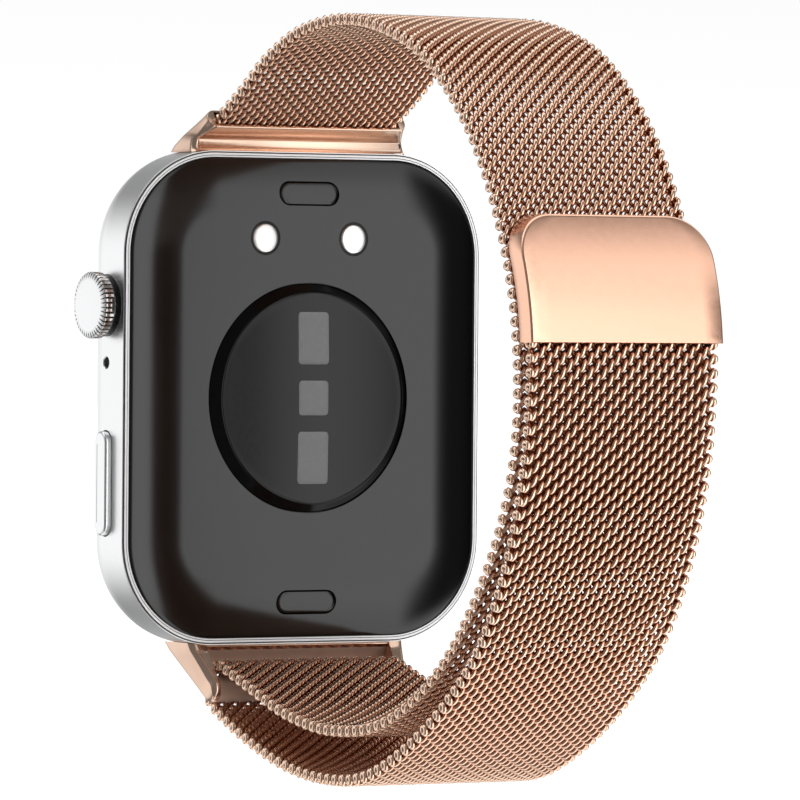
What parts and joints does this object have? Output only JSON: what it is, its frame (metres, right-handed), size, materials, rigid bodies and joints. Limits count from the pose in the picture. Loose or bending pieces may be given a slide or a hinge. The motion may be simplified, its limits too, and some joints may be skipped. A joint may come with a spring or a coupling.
{
  "type": "smartwatch",
  "caption": "Rectangular smartwatch with a rounded metal case, crown, side button, back sensor lens and a woven steel loop band folded round a ring and closed by a magnetic clasp.",
  "frame": {"origin": "middle of the sensor lens on the watch's back, where it rests on the wrist", "axes": "+Y out of the back towards the wrist, +Z towards 12 o'clock, +X towards the crown"},
  "size_m": [0.0384, 0.0595, 0.0658],
  "materials": {
    "case_aluminium": "fine bead-blasted silver anodised aluminium",
    "display_glass": "polished black cover glass",
    "seal": "black silicone",
    "panel": "dark display panel",
    "chassis": "moulded glass-filled plastic",
    "screws": "bright plated steel",
    "board": "green solder mask",
    "tinned_steel": "tinned steel sheet",
    "battery_foil": "laminated pouch foil",
    "back_plastic": "dark grey satin moulded composite",
    "lens": "black-printed clear lens",
    "window": "grey optical window",
    "contact": "bright plated contact",
    "polished_steel": "polished steel",
    "rose_polished": "polished rose gold plated steel",
    "rose_wire": "woven rose gold plated steel wire",
    "rose_satin": "satin rose gold plated steel",
    "magnet": "nickel-plated magnet"
  },
  "bodies": {
    "watch": {"case_frame": "case_aluminium", "display_glass": "display_glass", "display_gasket": "seal", "display_panel": "panel", "inner_chassis": "chassis", "chassis_screws": "screws", "main_board": "board", "shield_can": "tinned_steel", "battery": "battery_foil", "vibration_motor": "tinned_steel", "speaker": "chassis", "speaker_mesh": "tinned_steel", "microphone": "tinned_steel", "microphone_mesh": "tinned_steel", "back_cover": "back_plastic", "back_seal": "seal", "sensor_lens": "lens", "window_upper": "window", "window_middle": "window", "window_lower": "window", "sensor_board": "board", "sensor_emitters": "window", "contact_left": "contact", "contact_right": "contact", "contact_rings": "seal", "crown_bush": "tinned_steel", "crown_seal": "seal", "crown_switch": "tinned_steel", "encoder_sensor": "chassis", "button_seals": "seal", "button_switch": "tinned_steel", "spring_upper": "polished_steel", "spring_lower": "polished_steel", "upper_connector": "rose_polished", "lower_connector": "rose_polished", "band_main": "rose_wire"},
    "crown_carrier": {"crown_cup": "chassis"},
    "crown": {"crown_cap": "polished_steel", "crown_stem": "polished_steel"},
    "button": {"side_button": "case_aluminium", "button_clips": "tinned_steel"},
    "release_top": {"release_upper": "back_plastic"},
    "release_bottom": {"release_lower": "back_plastic"},
    "tail": {"band_tail": "rose_wire", "clasp_cover": "rose_satin", "clasp_magnet": "magnet", "clasp_plate": "rose_satin"}
  },
  "joints": [
    {"name": "crown_press", "type": "slide", "parent": "watch", "child": "crown_carrier", "axis": [-1, 0, 0], "range_m": [0, 0.0004], "stiffness_N_per_m": 600, "springref_m": -0.001},
    {"name": "crown_turn", "type": "hinge", "parent": "crown_carrier", "child": "crown", "pos_m": [0.0187, -0.005, 0.008], "axis": [1, 0, 0], "continuous": true},
    {"name": "side_press", "type": "slide", "parent": "watch", "child": "button", "axis": [-1, 0, 0], "range_m": [0, 0.0003], "stiffness_N_per_m": 700, "springref_m": -0.0008},
    {"name": "release_top_press", "type": "slide", "parent": "watch", "child": "release_top", "axis": [0, -1, 0], "range_m": [0, 0.00075], "stiffness_N_per_m": 800, "springref_m": -0.0015, "deforming": ["spring_upper"]},
    {"name": "release_bottom_press", "type": "slide", "parent": "watch", "child": "release_bottom", "axis": [0, -1, 0], "range_m": [0, 0.00075], "stiffness_N_per_m": 800, "springref_m": -0.0015, "deforming": ["spring_lower"]},
    {"name": "tail_open", "type": "hinge", "parent": "watch", "child": "tail", "pos_m": [0, -0.00115, -0.0254], "axis": [-1, 0, 0], "range_deg": [0, 45]}
  ]
}
